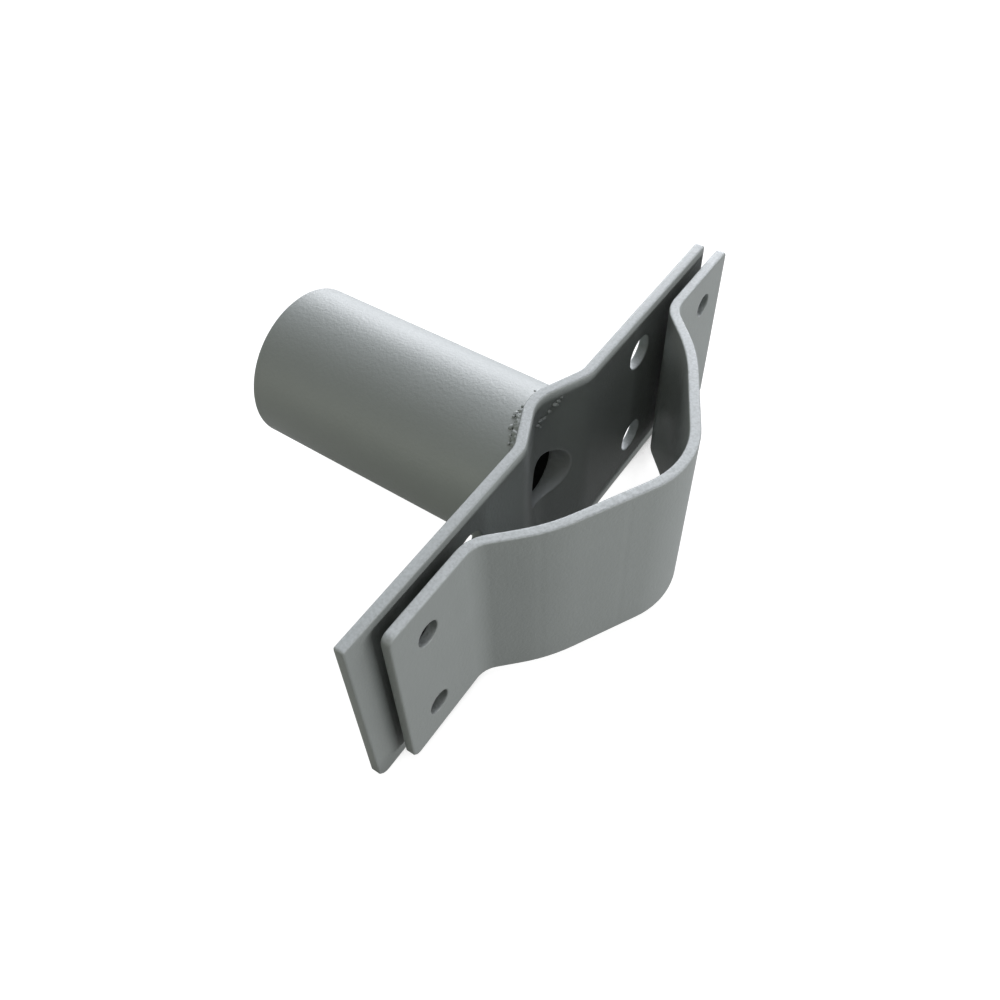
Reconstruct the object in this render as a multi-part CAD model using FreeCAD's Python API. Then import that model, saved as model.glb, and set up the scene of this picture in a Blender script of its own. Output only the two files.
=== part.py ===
"""Pole mount bracket: a lamp spigot welded to a seat plate, and the strap that closes round the pole.

Millimetres. X runs along both strips, Y along the spigot away from the pole, Z up the pole.
The origin lies on the spigot's axis, in the plane of the seat plate's back face.
"""
import math
import os

import FreeCAD
import Part

os.makedirs("parts", exist_ok=True)

# Sheet that the plate and the strap are pressed from
SHEET = 3.0
EDGE_BREAK = 0.4

# Spigot
SPIGOT_DIAMETER = 48.0
SPIGOT_WALL = 3.0
SPIGOT_REACH = 91.0
RIM_BREAK = 0.8

# Seat plate: a flat strip with a shallow rounded V pressed into it for the pole
PLATE_OVERHANG = 4.0
PLATE_WIDTH = 63.4
PLATE_SHIFT = -3.4
PLATE_DROP = 0.7
PLATE_UPPER_CORNER = 0.6
PLATE_LOWER_CORNER = 3.5
SEAT_SHIFT = -1.6
SEAT_HALF_WIDTH = 15.5
SEAT_ANGLE = 24.5
SEAT_NOSE_RADIUS = 10.0
SEAT_FOOT_RADIUS = 10.0

# Strap: two flat ears and a bow with a steep foot and a gentler flank on each side
STRAP_LENGTH = 161.0
STRAP_WIDTH = 57.0
STRAP_SHIFT = 2.7
STRAP_LEFT_CORNER = 2.5
STRAP_RIGHT_CORNER = 1.2
BOW_HALF_WIDTH = 48.3
BOW_SHOULDER = 34.9
BOW_STEEP_ANGLE = 45.0
BOW_FLANK_ANGLE = 28.6
BOW_NOSE_RADIUS = 22.0
BOW_SHOULDER_RADIUS = 50.0
BOW_FOOT_RADIUS = 11.0
CLAMP_GAP = 2.4

# Holes
CLAMP_BOLT = 6.0
CLAMP_BOLT_CLEARANCE = 1.0
CLAMP_SINK = 1.0
CLAMP_INSET = 12.0
CLAMP_SPAN_Z = 33.0
BAND_SPAN_X = 84.0
BAND_SPAN_Z = 34.5
PLATE_HOLE = 10.5
CABLE_HOLE = 18.0
COLLAR_WALL = 2.5
COLLAR_RISE = 0.5

# Weld: a convex bead round the foot of the spigot
WELD_LEG = 2.3
WELD_CROWN = 0.62

# Derived sizes
SPIGOT_RADIUS = SPIGOT_DIAMETER / 2
PLATE_LENGTH = STRAP_LENGTH + PLATE_OVERHANG
SEAT_DEPTH = SEAT_HALF_WIDTH * math.tan(math.radians(SEAT_ANGLE))
PLATE_FRONT = -SHEET
STRAP_BACK = PLATE_FRONT - CLAMP_GAP
CLAMP_HOLE = CLAMP_BOLT + CLAMP_BOLT_CLEARANCE
CLAMP_SPAN_X = STRAP_LENGTH - 2 * CLAMP_INSET
SHOULDER_DEPTH = (BOW_HALF_WIDTH - BOW_SHOULDER) * math.tan(math.radians(BOW_STEEP_ANGLE))
BOW_DEPTH = SHOULDER_DEPTH + BOW_SHOULDER * math.tan(math.radians(BOW_FLANK_ANGLE))


def point(xy, z=0.0):
    return FreeCAD.Vector(xy[0], xy[1], z)


def unit(a, b):
    length = math.hypot(b[0] - a[0], b[1] - a[1])
    return (b[0] - a[0]) / length, (b[1] - a[1]) / length


def turn(a, b, c):
    """Signed angle from a-b to b-c; positive to the left."""
    u = unit(a, b)
    v = unit(b, c)
    return math.atan2(u[0] * v[1] - u[1] * v[0], u[0] * v[0] + u[1] * v[1])


def offset_corners(corners, distance):
    """The same path moved to its right by distance, with mitred corners."""
    moved = []
    last = len(corners) - 1
    for i, corner in enumerate(corners):
        before = unit(corners[max(i - 1, 0)], corners[max(i, 1)])
        after = unit(corners[min(i, last - 1)], corners[min(i + 1, last)])
        bisector = (before[1] + after[1], -before[0] - after[0])
        reach = 2 * distance / (bisector[0] ** 2 + bisector[1] ** 2)
        moved.append((corner[0] + bisector[0] * reach, corner[1] + bisector[1] * reach))
    return moved


def rounded_path(corners, radii):
    """Edges along the corners, with an arc of the given radius at each inner one."""
    edges = []
    start = corners[0]
    for i in range(1, len(corners) - 1):
        a, b, c = corners[i - 1], corners[i], corners[i + 1]
        u = unit(a, b)
        v = unit(b, c)
        angle = turn(a, b, c)
        cut = radii[i - 1] * math.tan(abs(angle) / 2)
        enter = (b[0] - u[0] * cut, b[1] - u[1] * cut)
        leave = (b[0] + v[0] * cut, b[1] + v[1] * cut)
        inward = unit(b, ((enter[0] + leave[0]) / 2, (enter[1] + leave[1]) / 2))
        sagitta = radii[i - 1] * (1 / math.cos(angle / 2) - 1)
        middle = (b[0] + inward[0] * sagitta, b[1] + inward[1] * sagitta)
        edges.append(Part.LineSegment(point(start), point(enter)).toShape())
        edges.append(Part.Arc(point(enter), point(middle), point(leave)).toShape())
        start = leave
    edges.append(Part.LineSegment(point(start), point(corners[-1])).toShape())
    return edges


def pressed_strip(corners, radii, low, width, corner_rounds):
    """A strip bent along the corners, standing on its edge at low; the sheet lies to the path's right."""
    other = offset_corners(corners, SHEET)
    other_radii = []
    for i, radius in enumerate(radii):
        bend = turn(corners[i], corners[i + 1], corners[i + 2])
        other_radii.append(radius + math.copysign(SHEET, bend))
    outline = rounded_path(corners, radii)
    outline += rounded_path(other, other_radii)
    outline.append(Part.LineSegment(point(corners[0]), point(other[0])).toShape())
    outline.append(Part.LineSegment(point(corners[-1]), point(other[-1])).toShape())
    face = Part.Face(Part.Wire(Part.__sortEdges__(outline)))
    face.translate(FreeCAD.Vector(0, 0, low))
    strip = face.extrude(FreeCAD.Vector(0, 0, width))
    for (right, upper), radius in corner_rounds.items():
        strip = strip.makeFillet(radius, corner_edges(strip, right, upper))
    return strip.makeChamfer(EDGE_BREAK, rim_edges(strip))


def corner_edges(strip, right, upper):
    """The short edge through the sheet at one corner of the strip."""
    box = strip.BoundBox
    corner_x = box.XMax if right else box.XMin
    corner_z = box.ZMax if upper else box.ZMin
    found = []
    for edge in strip.Edges:
        offset = edge.CenterOfMass - FreeCAD.Vector(corner_x, edge.CenterOfMass.y, corner_z)
        if offset.Length < 0.001:
            found.append(edge)
    return found


def rim_edges(strip):
    """Edges between a broad face and the narrow rim round the strip."""
    found = []
    for edge in strip.Edges:
        faces = strip.ancestorsOfType(edge, Part.Face)
        if sum(is_rim(face) for face in faces) == 1:
            found.append(edge)
    return found


def is_rim(face):
    """True for the faces that run round the strip's outline through its thickness."""
    u_low, u_high, v_low, v_high = face.ParameterRange
    return abs(face.normalAt((u_low + u_high) / 2, (v_low + v_high) / 2).y) < 0.001


def drill(diameter):
    """A cylinder along Y that passes through both strips."""
    start = FreeCAD.Vector(0, STRAP_BACK - BOW_DEPTH - SHEET, 0)
    return Part.makeCylinder(diameter / 2, SPIGOT_REACH, start, FreeCAD.Vector(0, 1, 0))


def strap_drill():
    """The drill for the strap's ears, with a countersink on their back face."""
    start = FreeCAD.Vector(0, STRAP_BACK - CLAMP_SINK, 0)
    sink = Part.makeCone(
        CLAMP_HOLE / 2, CLAMP_HOLE / 2 + CLAMP_SINK, CLAMP_SINK, start, FreeCAD.Vector(0, 1, 0))
    return drill(CLAMP_HOLE).fuse(sink)


def drill_rectangle(strip, centre_x, span_x, span_z, tool):
    for x in (centre_x - span_x / 2, centre_x + span_x / 2):
        for z in (-span_z / 2, span_z / 2):
            strip = strip.cut(tool.translated(FreeCAD.Vector(x, 0, z)))
    return strip


def seat_corners():
    left = PLATE_SHIFT - PLATE_LENGTH / 2
    right = PLATE_SHIFT + PLATE_LENGTH / 2
    return [
        (right, PLATE_FRONT),
        (SEAT_SHIFT + SEAT_HALF_WIDTH, PLATE_FRONT),
        (SEAT_SHIFT, PLATE_FRONT + SEAT_DEPTH),
        (SEAT_SHIFT - SEAT_HALF_WIDTH, PLATE_FRONT),
        (left, PLATE_FRONT),
    ]


def bow_corners():
    half = [
        (STRAP_LENGTH / 2, STRAP_BACK),
        (BOW_HALF_WIDTH, STRAP_BACK),
        (BOW_SHOULDER, STRAP_BACK - SHOULDER_DEPTH),
    ]
    left = [(STRAP_SHIFT - x, y) for x, y in half]
    right = [(STRAP_SHIFT + x, y) for x, y in reversed(half)]
    return left + [(STRAP_SHIFT, STRAP_BACK - BOW_DEPTH)] + right


def front_of_seat():
    """Everything on the pole's side of the seat plate's back face."""
    back = offset_corners(seat_corners(), SHEET)
    radii = [SEAT_FOOT_RADIUS - SHEET, SEAT_NOSE_RADIUS + SHEET, SEAT_FOOT_RADIUS - SHEET]
    outline = rounded_path(back, radii)
    front = PLATE_FRONT - SPIGOT_RADIUS
    ring = [back[-1], (back[-1][0], front), (back[0][0], front), back[0]]
    for a, b in zip(ring, ring[1:]):
        outline.append(Part.LineSegment(point(a), point(b)).toShape())
    face = Part.Face(Part.Wire(Part.__sortEdges__(outline)))
    face.translate(FreeCAD.Vector(0, 0, -PLATE_WIDTH))
    return face.extrude(FreeCAD.Vector(0, 0, 2 * PLATE_WIDTH))


def crest_edges(ring, plate_side, tube):
    """The edges of the weld's blank that touch neither the seat plate nor the tube."""
    found = []
    for edge in ring.Edges:
        clear = min(edge.distToShape(plate_side)[0], edge.distToShape(tube)[0])
        if clear > WELD_LEG / 2:
            found.append(edge)
    return found


# Seat plate, with corners keyed by (right, upper)
back_plate = pressed_strip(
    seat_corners(),
    [SEAT_FOOT_RADIUS, SEAT_NOSE_RADIUS, SEAT_FOOT_RADIUS],
    -PLATE_WIDTH / 2 - PLATE_DROP, PLATE_WIDTH,
    {
        (False, True): PLATE_UPPER_CORNER,
        (True, True): PLATE_UPPER_CORNER,
        (False, False): PLATE_LOWER_CORNER,
        (True, False): PLATE_LOWER_CORNER,
    })
back_plate = drill_rectangle(back_plate, STRAP_SHIFT, CLAMP_SPAN_X, CLAMP_SPAN_Z, drill(PLATE_HOLE))
back_plate = drill_rectangle(back_plate, 0.0, BAND_SPAN_X, BAND_SPAN_Z, drill(PLATE_HOLE))

# Cable hole through the seat, deepened by a flat-ended collar inside the spigot
seat_side = front_of_seat()
collar = Part.makeCylinder(
    CABLE_HOLE / 2 + COLLAR_WALL, back_plate.BoundBox.YMax + COLLAR_RISE,
    FreeCAD.Vector(0, 0, 0), FreeCAD.Vector(0, 1, 0))
back_plate = back_plate.fuse(collar.cut(seat_side)).removeSplitter()
back_plate = back_plate.cut(drill(CABLE_HOLE))

# Spigot, coped to the back of the seat
blank = Part.makeCylinder(
    SPIGOT_RADIUS, SPIGOT_REACH + SHEET, FreeCAD.Vector(0, -SHEET, 0), FreeCAD.Vector(0, 1, 0))
bore = Part.makeCylinder(
    SPIGOT_RADIUS - SPIGOT_WALL, SPIGOT_REACH + SHEET, FreeCAD.Vector(0, -SHEET, 0), FreeCAD.Vector(0, 1, 0))
spigot = blank.cut(bore)
rim = [edge for edge in spigot.Edges if edge.BoundBox.YMin > SPIGOT_REACH - 0.001]
spigot = spigot.makeChamfer(RIM_BREAK, rim)
spigot = spigot.cut(seat_side)

# Strap
front_strap = pressed_strip(
    bow_corners(),
    [BOW_FOOT_RADIUS, BOW_SHOULDER_RADIUS, BOW_NOSE_RADIUS, BOW_SHOULDER_RADIUS, BOW_FOOT_RADIUS],
    -STRAP_WIDTH / 2, STRAP_WIDTH,
    {
        (False, True): STRAP_LEFT_CORNER,
        (False, False): STRAP_LEFT_CORNER,
        (True, True): STRAP_RIGHT_CORNER,
        (True, False): STRAP_RIGHT_CORNER,
    })
front_strap = drill_rectangle(front_strap, STRAP_SHIFT, CLAMP_SPAN_X, CLAMP_SPAN_Z, strap_drill())

# Weld, along the saddle line where the spigot's outside meets the seat plate
crest_side = seat_side.translated(FreeCAD.Vector(0, WELD_LEG, 0))
weld_bead = Part.makeCylinder(
    SPIGOT_RADIUS + WELD_LEG, SPIGOT_REACH, FreeCAD.Vector(0, -SHEET, 0), FreeCAD.Vector(0, 1, 0))
weld_bead = weld_bead.common(crest_side).cut(seat_side).cut(blank).Solids[0]
weld_bead = weld_bead.makeChamfer(WELD_CROWN * WELD_LEG, crest_edges(weld_bead, seat_side, blank))

for name, shape in (
    ("back_plate", back_plate),
    ("spigot_tube", spigot),
    ("weld_bead", weld_bead),
    ("front_strap", front_strap),
):
    shape.exportStep("parts/" + name + ".step")
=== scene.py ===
"""Looks for the pole mount bracket: satin grey paint on pressed steel, in a pale studio.

Metres. X runs along both strips, Y along the spigot away from the pole, Z up the pole.
"""
import math

import bmesh
import bpy
from mathutils import Matrix, Vector, noise


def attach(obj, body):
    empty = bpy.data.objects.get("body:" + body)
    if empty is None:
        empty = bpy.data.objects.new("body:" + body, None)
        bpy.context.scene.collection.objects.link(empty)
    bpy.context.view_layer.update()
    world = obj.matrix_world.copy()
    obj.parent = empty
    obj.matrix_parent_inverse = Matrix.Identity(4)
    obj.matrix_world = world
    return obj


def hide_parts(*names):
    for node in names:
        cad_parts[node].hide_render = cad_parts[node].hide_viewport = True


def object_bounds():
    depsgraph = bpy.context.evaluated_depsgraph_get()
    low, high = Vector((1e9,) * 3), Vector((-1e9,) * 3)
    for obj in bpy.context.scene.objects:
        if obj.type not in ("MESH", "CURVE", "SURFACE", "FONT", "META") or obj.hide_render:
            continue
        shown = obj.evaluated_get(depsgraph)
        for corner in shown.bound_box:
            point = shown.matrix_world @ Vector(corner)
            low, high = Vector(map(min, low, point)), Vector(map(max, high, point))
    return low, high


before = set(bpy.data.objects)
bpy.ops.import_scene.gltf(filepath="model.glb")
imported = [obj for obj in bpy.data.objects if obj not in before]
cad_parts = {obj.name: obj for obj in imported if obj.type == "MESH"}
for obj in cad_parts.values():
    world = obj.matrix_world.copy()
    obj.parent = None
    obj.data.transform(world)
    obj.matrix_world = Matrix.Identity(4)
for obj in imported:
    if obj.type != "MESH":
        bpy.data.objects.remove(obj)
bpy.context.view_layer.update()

# Camera
CAMERA_PLACE = Vector((-0.1464, -0.0898, 0.2022))
CAMERA_TARGET = Vector((-0.0192, 0.0040, 0.0085))
CAMERA_ROLL = math.radians(2.61)
CAMERA_SENSOR = 36.0
CAMERA_LENS = 34.11
CAMERA_NEAR = 0.01

# Paint, as linear colours
PAINT_GREY = (0.285, 0.307, 0.302, 1.0)
PAINT_SHADE = (0.268, 0.289, 0.283, 1.0)
# Painted shade inside the spigot's bore
BORE_PAINTED_SHADE = (0.055, 0.056, 0.054, 1.0)
# Painted highlights on the rims of the plate and strap that face up
PLATE_RIM_HIGHLIGHT = (0.435, 0.463, 0.471, 1.0)
STRAP_RIM_HIGHLIGHT = (0.525, 0.556, 0.565, 1.0)
# Rubbed paint with a painted highlight on edges, and painted light on the cable hole's wall
WEAR_AND_PAINTED_LIGHT_GREY = (0.430, 0.445, 0.450, 1.0)
# Painted shade in the gap behind the strap, beside it and in the weld's pits
PAINTED_SHADE_DARK = (0.030, 0.034, 0.028, 1.0)

# Paint's surface: orange peel and the steel's waves by the size and height of their lumps, and the
# noise levels over which the colour goes from shade to grey
PAINT_ROUGHNESS = (0.42, 0.58)
PAINT_MOTTLE = (0.25, 0.75)
PEEL_GRAIN = 0.0010
PEEL_HEIGHT = 0.00010
WAVE_GRAIN = 0.012
WAVE_HEIGHT = 0.00003
CLOUD_DETAIL = 3.0

# Edges: radius of the softened ones; cosines of the turn between which rubbed paint and its painted
# highlight fade out; noise levels between which their patches begin; their share of the colour
EDGE_SOFTNESS = 0.0009
EDGE_SAMPLES = 8
EDGE_TURN = (0.90, 0.98)
WEAR_GRAIN = 0.0016
WEAR_PATCH = (0.48, 0.62)
WEAR_AND_HIGHLIGHT_SHARE = 0.4

# Painted highlight on rims that face up: upward part of the direction over which it begins, and its
# speckle
RIM_UPWARD = (0.3, 0.95)
RIM_GRAIN = 0.0007
RIM_DETAIL = 2.0
RIM_NOISE = (0.2, 0.7)
RIM_SPECKLE = (0.55, 1.0)

# Mesh modifiers: joining of the CAD faces' corners, and rounding of the drilled holes
JOIN_DISTANCE = 1e-6
FLAT_ANGLE = math.radians(0.5)
HOLE_EDGE = 0.00025
HOLE_EDGE_STEPS = 2
HOLE_EDGE_ANGLE = math.radians(60)
BROAD_FACE_WEIGHT = 100

# Radii of the bores on the spigot's axis that differ in colour, painted light on the cable hole's wall
# and painted shade in the spigot's bore, and the width of the change
CABLE_BORE = 0.0091
SPIGOT_BORE = 0.0212
BORE_FADE = 0.0005

# Painted shade in the gap behind the strap, in the weld's pits and, softer, beside the gap: how far it
# reaches and the openness over which it fades out
HOLLOW_SAMPLES = 8
GAP_REACH = 0.006
GAP_OPENNESS = (0.05, 0.30)
PIT_REACH = 0.0012
PIT_OPENNESS = (0.25, 0.65)
SHADE_REACH = 0.010
SHADE_OPENNESS = (0.72, 1.0)
SHADE_SHARE = 0.33

# Press marks across the bow, along X
PRESS_MARKS = (-0.0355, -0.0150)
PRESS_MARK_WIDTH = 0.0014
PRESS_MARK_DEPTH = 0.00004

# Weld's paint
WELD_ROUGHNESS = (0.40, 0.65)
WELD_MOTTLE = (0.3, 0.7)
WELD_GRAIN = 0.0015
WELD_DETAIL = 4.0
WELD_BUMP = 0.0002

# Weld: legs of its even run, and of the thick run near the top, at angles from Z towards +X
SPIGOT_RADIUS = 0.024
WELD_LEG = 0.0024
THICK_LEG = 0.0031
THICK_FROM = math.radians(-38)
THICK_TO = math.radians(10)
THICK_RAMP = 1.6
RING_STEPS = 752
SECTION_STEPS = 10

# Weld's section: depth of its root, how full it is, and the hollowness of its face
WELD_ROOT = 0.0004
WELD_FULL = 0.94
WELD_HOLLOW = 1.2

# Weld's ripples, how far they bow, and its roughness, as shares of the leg
WELD_RIPPLES = 94
RIPPLE_BOW = 1.2
RIPPLE_SHARE = 0.09
LUMP_GRAIN = 0.0009
EVEN_ROUGH = 0.05
THICK_ROUGH = 0.30
ROUGH_FALLOFF = 1.0
ROUGH_FINER = 2.0
ROUGH_LAYERS = 2

# Spatter on the spigot beside the thick run: angle, place along Y, radius
SPATTER = (
    (0.5, 0.0094, 0.00045), (-6.9, 0.0096, 0.00060), (-9.6, 0.0095, 0.00045), (-16.6, 0.0085, 0.00060),
    (-22.0, 0.0072, 0.00045), (-27.1, 0.0064, 0.00040), (19.4, 0.0107, 0.00030),
)
SPATTER_SPREAD = 1.3

# Burn marks through the seat, along the spigot's wall: X, Z, length, width, height
BURN_MARKS = (
    (-0.0029, 0.0230, 0.0006, 0.0006, 0.0006), (-0.0014, 0.0213, 0.0006, 0.0005, 0.0006),
    (-0.0013, 0.0235, 0.0011, 0.0004, 0.0006), (0.0003, 0.0232, 0.0011, 0.0004, 0.0006),
    (0.0019, 0.0245, 0.0007, 0.0006, 0.0007), (0.0037, 0.0261, 0.0009, 0.0007, 0.0009),
    (0.0046, 0.0268, 0.0008, 0.0005, 0.0007), (0.0056, 0.0275, 0.0006, 0.0004, 0.0004),
)

# Lumps of spatter and burn marks
LUMP_FINENESS = 3
LUMP_UNEVEN = 0.35

# A place on the Y axis well clear of the seat plate
CLEAR_OF_PLATE = 0.05

# Studio
FLOOR_GREY = (0.27, 0.27, 0.27, 1.0)
FLOOR_GLOW = 0.95
FLOOR_SIZE = 6.0
FLOOR_SAMPLES = 16
# Painted contact shadow on the floor: how far it reaches and the openness over which it fades out
CONTACT_SHADOW_REACH = 0.018
CONTACT_SHADOW_OPENNESS = (0.06, 0.42)
REFLECTED_SHARE = 0.3
SKY_WHITE = (1.0, 1.0, 1.0, 1.0)
SKY_STRENGTH = 0.13
KEY_COLOUR = (0.94, 0.95, 1.0)
FILL_COLOUR = (1.0, 1.0, 1.0)
LEFT_COLOUR = (0.98, 1.0, 0.80)

# Lamps: name, place, target, width, height, watts, colour
LAMPS = (
    ("window", (0.88, 0.34, 0.32), (0.0, 0.02, 0.0), 0.9, 0.9, 19.0, KEY_COLOUR),
    ("ceiling", (0.12, -0.02, 1.0), (0.0, 0.0, 0.0), 0.6, 0.6, 2.8, KEY_COLOUR),
    ("fill", (0.15, -0.97, 0.01), (0.0, 0.0, 0.0), 0.7, 0.07, 5.9, FILL_COLOUR),
    ("left", (-0.62, -0.15, 0.70), (0.0, 0.0, 0.0), 0.5, 0.5, 0.7, LEFT_COLOUR),
    ("low_left", (-0.75, 0.35, 0.10), (0.0, 0.0, 0.0), 0.4, 0.4, 1.0, LEFT_COLOUR),
)


def empty_material(name):
    """A material with nothing in its node tree but the output; gives its surface socket too."""
    material = bpy.data.materials.new(name)
    material.use_nodes = True
    tree = material.node_tree
    tree.nodes.clear()
    output = tree.nodes.new("ShaderNodeOutputMaterial")
    return material, tree, output.inputs["Surface"]


def paint_material(name):
    """A material with a paint shader that has nothing linked to it yet."""
    material, tree, surface = empty_material(name)
    shader = tree.nodes.new("ShaderNodeBsdfPrincipled")
    tree.links.new(shader.outputs["BSDF"], surface)
    return material, tree, shader


def own_place(tree):
    """The place of the shaded point in the object's own metres."""
    return tree.nodes.new("ShaderNodeTexCoord").outputs["Object"]


def clouds(tree, grain, detail):
    """Noise in the object's own metres; grain is the size of its lumps."""
    texture = tree.nodes.new("ShaderNodeTexNoise")
    texture.inputs["Scale"].default_value = 1.0 / grain
    texture.inputs["Detail"].default_value = detail
    tree.links.new(own_place(tree), texture.inputs["Vector"])
    return texture.outputs["Fac"]


def bump(tree, height, distance, under=None):
    """A bump of the given depth, laid over another one."""
    node = tree.nodes.new("ShaderNodeBump")
    node.inputs["Distance"].default_value = distance
    tree.links.new(height, node.inputs["Height"])
    if under is not None:
        tree.links.new(under, node.inputs["Normal"])
    return node.outputs["Normal"]


def between(tree, factor, low, high, first, second):
    """A colour ramp from the first colour at low to the second at high."""
    ramp = tree.nodes.new("ShaderNodeValToRGB")
    ramp.color_ramp.elements[0].position = low
    ramp.color_ramp.elements[0].color = first
    ramp.color_ramp.elements[1].position = high
    ramp.color_ramp.elements[1].color = second
    tree.links.new(factor, ramp.inputs["Fac"])
    return ramp.outputs["Color"]


def span(tree, factor, low, high):
    """A factor from 0 to 1 stretched to run from low to high."""
    node = tree.nodes.new("ShaderNodeMapRange")
    node.inputs["To Min"].default_value = low
    node.inputs["To Max"].default_value = high
    tree.links.new(factor, node.inputs["Value"])
    return node.outputs["Result"]


def band(tree, value, low, high, start=0.0, end=1.0):
    """A smooth change from start to end while the value goes from low to high."""
    node = tree.nodes.new("ShaderNodeMapRange")
    node.interpolation_type = "SMOOTHSTEP"
    node.inputs["From Min"].default_value = low
    node.inputs["From Max"].default_value = high
    node.inputs["To Min"].default_value = start
    node.inputs["To Max"].default_value = end
    tree.links.new(value, node.inputs["Value"])
    return node.outputs["Result"]


def arithmetic(tree, operation, first, second):
    """Two values put together; the second may be a plain number."""
    node = tree.nodes.new("ShaderNodeMath")
    node.operation = operation
    tree.links.new(first, node.inputs[0])
    if isinstance(second, float):
        node.inputs[1].default_value = second
    else:
        tree.links.new(second, node.inputs[1])
    return node.outputs["Value"]


def blend(tree, factor, first, second):
    """The first colour, turning into the plain second one with the factor."""
    node = tree.nodes.new("ShaderNodeMix")
    node.data_type = "RGBA"
    tree.links.new(factor, node.inputs["Factor"])
    tree.links.new(first, node.inputs["A"])
    node.inputs["B"].default_value = second
    return node.outputs["Result"]


def part_of(tree, vector, axis):
    """One of a vector's three numbers."""
    node = tree.nodes.new("ShaderNodeSeparateXYZ")
    tree.links.new(vector, node.inputs["Vector"])
    return node.outputs[axis]


def soft_edges(tree):
    """The surface's direction, rounded off along the edges as thick paint does."""
    rounded = tree.nodes.new("ShaderNodeBevel")
    rounded.samples = EDGE_SAMPLES
    rounded.inputs["Radius"].default_value = EDGE_SOFTNESS
    return rounded.outputs["Normal"]


def edge_wear_and_highlight(tree, soft):
    """1 on patches of the edges, where the paint is rubbed and a highlight is painted."""
    flat = tree.nodes.new("ShaderNodeNewGeometry")
    facing = tree.nodes.new("ShaderNodeVectorMath")
    facing.operation = "DOT_PRODUCT"
    tree.links.new(soft, facing.inputs[0])
    tree.links.new(flat.outputs["Normal"], facing.inputs[1])
    sharp = band(tree, facing.outputs["Value"], *EDGE_TURN, 1.0, 0.0)
    patchy = band(tree, clouds(tree, WEAR_GRAIN, CLOUD_DETAIL), *WEAR_PATCH)
    return arithmetic(tree, "MULTIPLY", sharp, patchy)


def press_marks(tree):
    """Shallow lines across the bow, as a height."""
    along = part_of(tree, own_place(tree), "X")
    height = None
    for mark in PRESS_MARKS:
        away = arithmetic(tree, "ABSOLUTE", arithmetic(tree, "SUBTRACT", along, mark), 0.0)
        line = band(tree, away, 0.0, PRESS_MARK_WIDTH)
        height = line if height is None else arithmetic(tree, "MULTIPLY", height, line)
    return height


def inside(tree, radius):
    """1 within the radius of the spigot's axis, fading out just beyond it."""
    across = tree.nodes.new("ShaderNodeVectorMath")
    across.operation = "MULTIPLY"
    across.inputs[1].default_value = (1.0, 0.0, 1.0)
    tree.links.new(own_place(tree), across.inputs[0])
    away = tree.nodes.new("ShaderNodeVectorMath")
    away.operation = "LENGTH"
    tree.links.new(across.outputs["Vector"], away.inputs[0])
    return band(tree, away.outputs["Value"], radius, radius + BORE_FADE, 1.0, 0.0)


def openness(tree, reach, samples):
    """The share of the space in front of the surface that is open as far as reach."""
    node = tree.nodes.new("ShaderNodeAmbientOcclusion")
    node.samples = samples
    node.inputs["Distance"].default_value = reach
    return node.outputs["AO"]


def shade_in_hollows(tree, reach, deep, shallow):
    """1 where the space in front of the surface is closed off within reach, 0 where it is open: the share
    of painted shade.
    """
    return band(tree, openness(tree, reach, HOLLOW_SAMPLES), deep, shallow, 1.0, 0.0)


def painted_steel(name, rim=None, bore=None, marks=False, gap=False):
    """Satin grey paint with orange peel over slightly wavy steel.

    rim is the colour of a painted highlight on edges that face up; bore is the radius and colour of a
    round hole on the spigot's axis, with which light is painted onto the cable hole's wall and shade into
    the spigot's bore; marks adds the press marks; gap paints shade into the narrow space behind the
    strap's ears and onto the plate beside it.
    """
    material, tree, shader = paint_material(name)
    soft = soft_edges(tree)
    cloud = clouds(tree, WAVE_GRAIN, CLOUD_DETAIL)
    fine = clouds(tree, PEEL_GRAIN, CLOUD_DETAIL)
    mottle = arithmetic(tree, "MULTIPLY", arithmetic(tree, "ADD", cloud, fine), 0.5)
    colour = between(tree, mottle, *PAINT_MOTTLE, PAINT_SHADE, PAINT_GREY)
    if gap:
        # Painted shade on the plate beside the gap behind the strap
        beside = shade_in_hollows(tree, SHADE_REACH, *SHADE_OPENNESS)
        colour = blend(tree, arithmetic(tree, "MULTIPLY", beside, SHADE_SHARE), colour, PAINTED_SHADE_DARK)
    # The bore's colour paints light onto the cable hole's wall and shade into the spigot's bore
    if bore:
        radius, bore_colour = bore
        colour = blend(tree, inside(tree, radius), colour, bore_colour)
    # Painted highlight on edges that face up, with a speckle
    if rim:
        facing_up = band(tree, part_of(tree, soft, "Z"), *RIM_UPWARD)
        speckle = band(tree, clouds(tree, RIM_GRAIN, RIM_DETAIL), *RIM_NOISE, *RIM_SPECKLE)
        colour = blend(tree, arithmetic(tree, "MULTIPLY", facing_up, speckle), colour, rim)
    # Rubbed paint and a painted highlight along the edges
    worn_and_highlit = arithmetic(tree, "MULTIPLY", edge_wear_and_highlight(tree, soft), WEAR_AND_HIGHLIGHT_SHARE)
    colour = blend(tree, worn_and_highlit, colour, WEAR_AND_PAINTED_LIGHT_GREY)
    if gap:
        # Painted shade deep in the gap behind the strap's ears
        colour = blend(tree, shade_in_hollows(tree, GAP_REACH, *GAP_OPENNESS), colour, PAINTED_SHADE_DARK)
    tree.links.new(colour, shader.inputs["Base Color"])
    tree.links.new(span(tree, fine, *PAINT_ROUGHNESS), shader.inputs["Roughness"])
    normal = bump(tree, cloud, WAVE_HEIGHT, soft)
    if marks:
        normal = bump(tree, press_marks(tree), PRESS_MARK_DEPTH, normal)
    normal = bump(tree, fine, PEEL_HEIGHT, normal)
    tree.links.new(normal, shader.inputs["Normal"])
    return material


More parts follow.
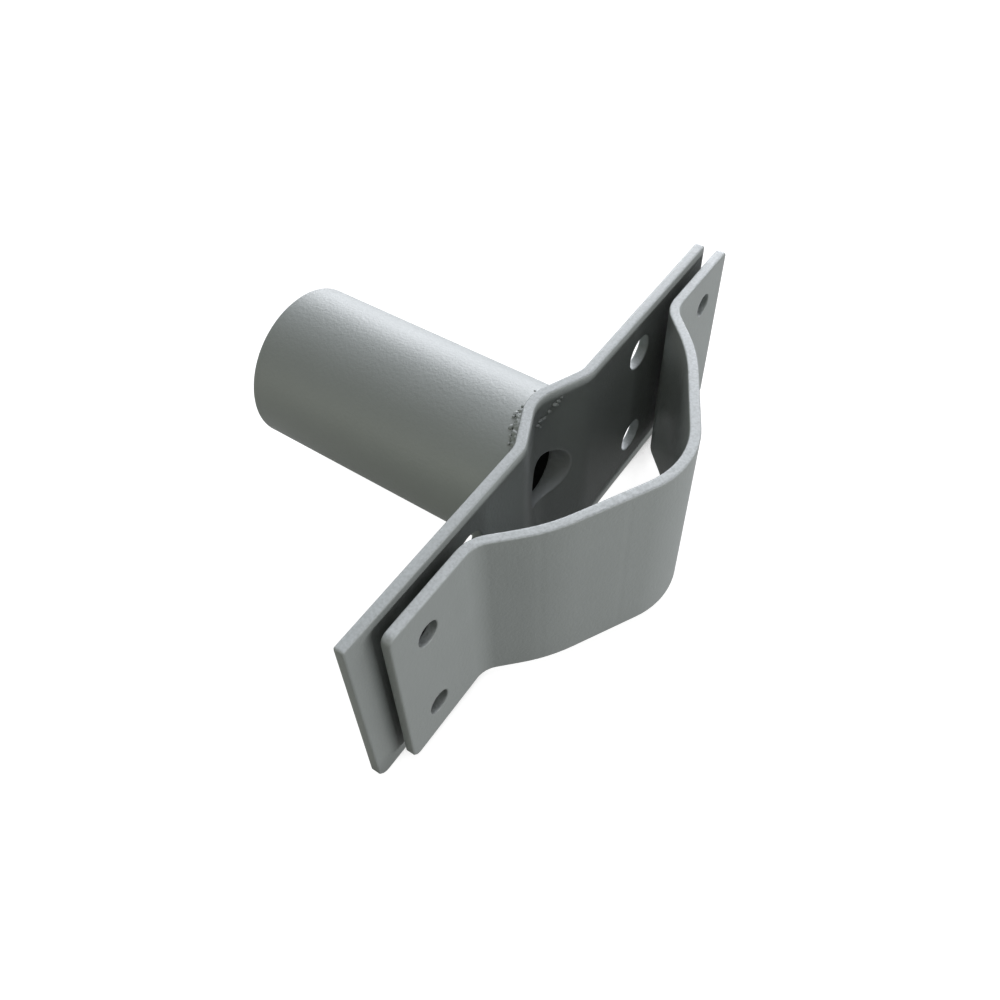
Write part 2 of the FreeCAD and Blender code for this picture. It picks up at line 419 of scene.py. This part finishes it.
def painted_weld(name):
    """The same paint over rough weld metal, with painted shade in its pits."""
    material, tree, shader = paint_material(name)
    cloud = clouds(tree, WELD_GRAIN, WELD_DETAIL)
    colour = between(tree, cloud, *WELD_MOTTLE, PAINT_SHADE, PAINT_GREY)
    # Painted shade in the weld's pits
    colour = blend(tree, shade_in_hollows(tree, PIT_REACH, *PIT_OPENNESS), colour, PAINTED_SHADE_DARK)
    tree.links.new(colour, shader.inputs["Base Color"])
    tree.links.new(span(tree, cloud, *WELD_ROUGHNESS), shader.inputs["Roughness"])
    tree.links.new(bump(tree, cloud, WELD_BUMP), shader.inputs["Normal"])
    return material


def dress(node, material):
    """Gives a CAD node its material, softened hole edges and smooth shading over its edge breaks."""
    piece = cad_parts[node]
    piece.data.materials.clear()
    piece.data.materials.append(material)
    piece.data.shade_smooth()
    weld = piece.modifiers.new("join_faces", "WELD")
    weld.merge_threshold = JOIN_DISTANCE
    flats = piece.modifiers.new("whole_flats", "DECIMATE")
    flats.decimate_type = "DISSOLVE"
    flats.angle_limit = FLAT_ANGLE
    soften = piece.modifiers.new("hole_edges", "BEVEL")
    soften.width = HOLE_EDGE
    soften.segments = HOLE_EDGE_STEPS
    soften.limit_method = "ANGLE"
    soften.angle_limit = HOLE_EDGE_ANGLE
    normals = piece.modifiers.new("broad_faces_lead", "WEIGHTED_NORMAL")
    normals.weight = BROAD_FACE_WEIGHT


def on_plate(x, z, side):
    """Where a line along Y meets the seat plate, and the plate's direction there.

    side is -1 for the pole's side of the plate and 1 for its back.
    """
    start = Vector((x, side * CLEAR_OF_PLATE, z))
    hit, place, normal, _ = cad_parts["back_plate"].ray_cast(start, Vector((0.0, -side, 0.0)))
    if not hit:
        raise ValueError("no plate there")
    return place, normal


def on_spigot(angle, y, radius=SPIGOT_RADIUS):
    """A point on a cylinder round the spigot's axis; angle is from Z towards +X."""
    return Vector((radius * math.sin(angle), y, radius * math.cos(angle)))


def add_lump(mesh, place, normal, along, length, width, height):
    """An uneven lump, half sunk at place, stretched along a direction."""
    side = normal.cross(along).normalized()
    along = side.cross(normal).normalized()
    turned = Matrix((along * length, side * width, normal * height)).transposed().to_4x4()
    made = bmesh.ops.create_icosphere(
        mesh, subdivisions=LUMP_FINENESS, radius=1.0, matrix=Matrix.Translation(place) @ turned)
    for vertex in made["verts"]:
        uneven = LUMP_UNEVEN * noise.noise(vertex.co / min(length, width))
        vertex.co += (vertex.co - place) * uneven


def new_piece(name, mesh, material):
    """Turns mesh data into a smooth piece of the bracket."""
    bmesh.ops.recalc_face_normals(mesh, faces=mesh.faces)
    data = bpy.data.meshes.new(name)
    mesh.to_mesh(data)
    mesh.free()
    data.shade_smooth()
    data.materials.append(material)
    piece = bpy.data.objects.new(name, data)
    bpy.context.scene.collection.objects.link(piece)
    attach(piece, "root")
    return piece


def thickness(angle):
    """0 on the even run of the weld, 1 inside its thick run."""
    middle = (THICK_FROM + THICK_TO) / 2
    half = (THICK_TO - THICK_FROM) / 2
    away = abs((angle - middle + math.pi) % (2 * math.pi) - math.pi)
    return max(0.0, min(1.0, THICK_RAMP * (1.0 - away / half)))


def weld_point(angle, outward, ahead):
    """A point of the weld, outward from the spigot's face and ahead of the seat plate's back face."""
    place = on_spigot(angle, 0.0, SPIGOT_RADIUS + outward)
    place.y = on_plate(place.x, place.z, 1)[0].y + ahead
    return place


def weld_section(angle):
    """The points of the weld's section at an angle, its root first and then its face."""
    thick = thickness(angle)
    leg = WELD_LEG + (THICK_LEG - WELD_LEG) * thick
    points = [weld_point(angle, -WELD_ROOT, -WELD_ROOT)]
    for step in range(SECTION_STEPS):
        slope = math.pi / 2 * step / (SECTION_STEPS - 1)
        out = math.sin(slope)
        along = math.cos(slope)
        ripple = abs(math.sin(WELD_RIPPLES / 2 * angle + RIPPLE_BOW * out))
        spot = on_spigot(angle, leg * along, SPIGOT_RADIUS + leg * out) / LUMP_GRAIN
        grain = noise.fractal(spot, ROUGH_FALLOFF, ROUGH_FINER, ROUGH_LAYERS)
        rough = grain * (EVEN_ROUGH + THICK_ROUGH * thick)
        swell = WELD_FULL + RIPPLE_SHARE * (1.0 - thick) * ripple + rough
        outward = WELD_LEG * swell * out ** WELD_HOLLOW
        ahead = leg * swell * along ** WELD_HOLLOW
        points.append(weld_point(angle, outward, ahead))
    return points


def add_weld(material):
    """The rippled bead round the foot of the spigot, lumpy near its top, with spatter beside it."""
    mesh = bmesh.new()
    rings = []
    for step in range(RING_STEPS):
        section = weld_section(2 * math.pi * step / RING_STEPS)
        rings.append([mesh.verts.new(point) for point in section])
    for ring, following in zip(rings, rings[1:] + rings[:1]):
        for i in range(len(ring)):
            j = (i + 1) % len(ring)
            mesh.faces.new((ring[i], ring[j], following[j], following[i]))
    along_spigot = Vector((0.0, 1.0, 0.0))
    for degrees, y, radius in SPATTER:
        angle = math.radians(degrees)
        normal = on_spigot(angle, 0.0).normalized()
        spread = radius * SPATTER_SPREAD
        add_lump(mesh, on_spigot(angle, y), normal, along_spigot, radius, spread, radius)
    piece = new_piece("weld_run", mesh, material)
    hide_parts("weld_bead")


def add_burn_marks(material):
    """Small ridges and drops of weld metal that came through the seat."""
    mesh = bmesh.new()
    for x, z, length, width, height in BURN_MARKS:
        place, normal = on_plate(x, z, -1)
        round_spigot = Vector((z, 0.0, -x))
        add_lump(mesh, place, normal, round_spigot, length, width, height)
    new_piece("burn_marks", mesh, material)


def shown_rays(tree):
    """1 for rays that show the background straight to the camera, and a share of that for reflections."""
    path = tree.nodes.new("ShaderNodeLightPath")
    both = tree.nodes.new("ShaderNodeMath")
    both.operation = "MULTIPLY_ADD"
    both.inputs[1].default_value = REFLECTED_SHARE
    tree.links.new(path.outputs["Is Glossy Ray"], both.inputs[0])
    tree.links.new(path.outputs["Is Camera Ray"], both.inputs[2])
    return both.outputs["Value"]


def add_floor():
    """A pale floor that glows white in the open, with a painted contact shadow where the bracket is near.
    """
    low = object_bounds()[0]
    bpy.ops.mesh.primitive_plane_add(size=FLOOR_SIZE, location=(0.0, 0.0, low[2]))
    floor = bpy.context.object
    floor.name = "floor"
    material, tree, surface = empty_material("floor_white")
    matt = tree.nodes.new("ShaderNodeBsdfDiffuse")
    matt.inputs["Color"].default_value = FLOOR_GREY
    # Painted contact shadow: the floor's glow drops where the bracket closes off the space above it
    unshadowed = band(tree, openness(tree, CONTACT_SHADOW_REACH, FLOOR_SAMPLES), *CONTACT_SHADOW_OPENNESS)
    shown = arithmetic(tree, "MULTIPLY", shown_rays(tree), unshadowed)
    glow = tree.nodes.new("ShaderNodeEmission")
    tree.links.new(span(tree, shown, 0.0, FLOOR_GLOW), glow.inputs["Strength"])
    total = tree.nodes.new("ShaderNodeAddShader")
    tree.links.new(matt.outputs["BSDF"], total.inputs[0])
    tree.links.new(glow.outputs["Emission"], total.inputs[1])
    tree.links.new(total.outputs["Shader"], surface)
    floor.data.materials.append(material)


def looking(place, target):
    """The turn that points a lamp or a camera at place to the target."""
    return (Vector(target) - Vector(place)).to_track_quat("-Z", "Y")


def add_lamp(name, place, target, width, height, power, colour):
    """A soft lamp at place, turned to target."""
    lamp = bpy.data.lights.new(name, "AREA")
    lamp.shape = "RECTANGLE"
    lamp.size = width
    lamp.size_y = height
    lamp.energy = power
    lamp.color = colour
    piece = bpy.data.objects.new(name, lamp)
    piece.location = place
    piece.rotation_euler = looking(place, target).to_euler()
    bpy.context.scene.collection.objects.link(piece)


def add_sky():
    """Even light from all round, white where it is seen."""
    world = bpy.data.worlds.new("studio")
    world.use_nodes = True
    tree = world.node_tree
    background = tree.nodes["Background"]
    background.inputs["Color"].default_value = SKY_WHITE
    tree.links.new(span(tree, shown_rays(tree), SKY_STRENGTH, 1.0), background.inputs["Strength"])
    bpy.context.scene.world = world


def add_camera():
    """The photograph's camera."""
    lens = bpy.data.cameras.new("camera")
    lens.sensor_width = CAMERA_SENSOR
    lens.lens = CAMERA_LENS
    lens.clip_start = CAMERA_NEAR
    camera = bpy.data.objects.new("camera", lens)
    sight = looking(CAMERA_PLACE, CAMERA_TARGET).to_matrix().to_4x4()
    camera.matrix_world = Matrix.Translation(CAMERA_PLACE) @ sight @ Matrix.Rotation(-CAMERA_ROLL, 4, "Z")
    bpy.context.scene.collection.objects.link(camera)
    bpy.context.scene.camera = camera


dress("back_plate", painted_steel("plate_paint", rim=PLATE_RIM_HIGHLIGHT, bore=(CABLE_BORE, WEAR_AND_PAINTED_LIGHT_GREY), gap=True))
dress("front_strap", painted_steel("strap_paint", rim=STRAP_RIM_HIGHLIGHT, marks=True))
dress("spigot_tube", painted_steel("tube_paint", bore=(SPIGOT_BORE, BORE_PAINTED_SHADE)))
weld_paint = painted_weld("weld_paint")
dress("weld_bead", weld_paint)
add_weld(weld_paint)
add_burn_marks(weld_paint)

add_floor()
add_sky()
for lamp_row in LAMPS:
    add_lamp(*lamp_row)
add_camera()
bpy.context.scene.view_settings.view_transform = "Standard"
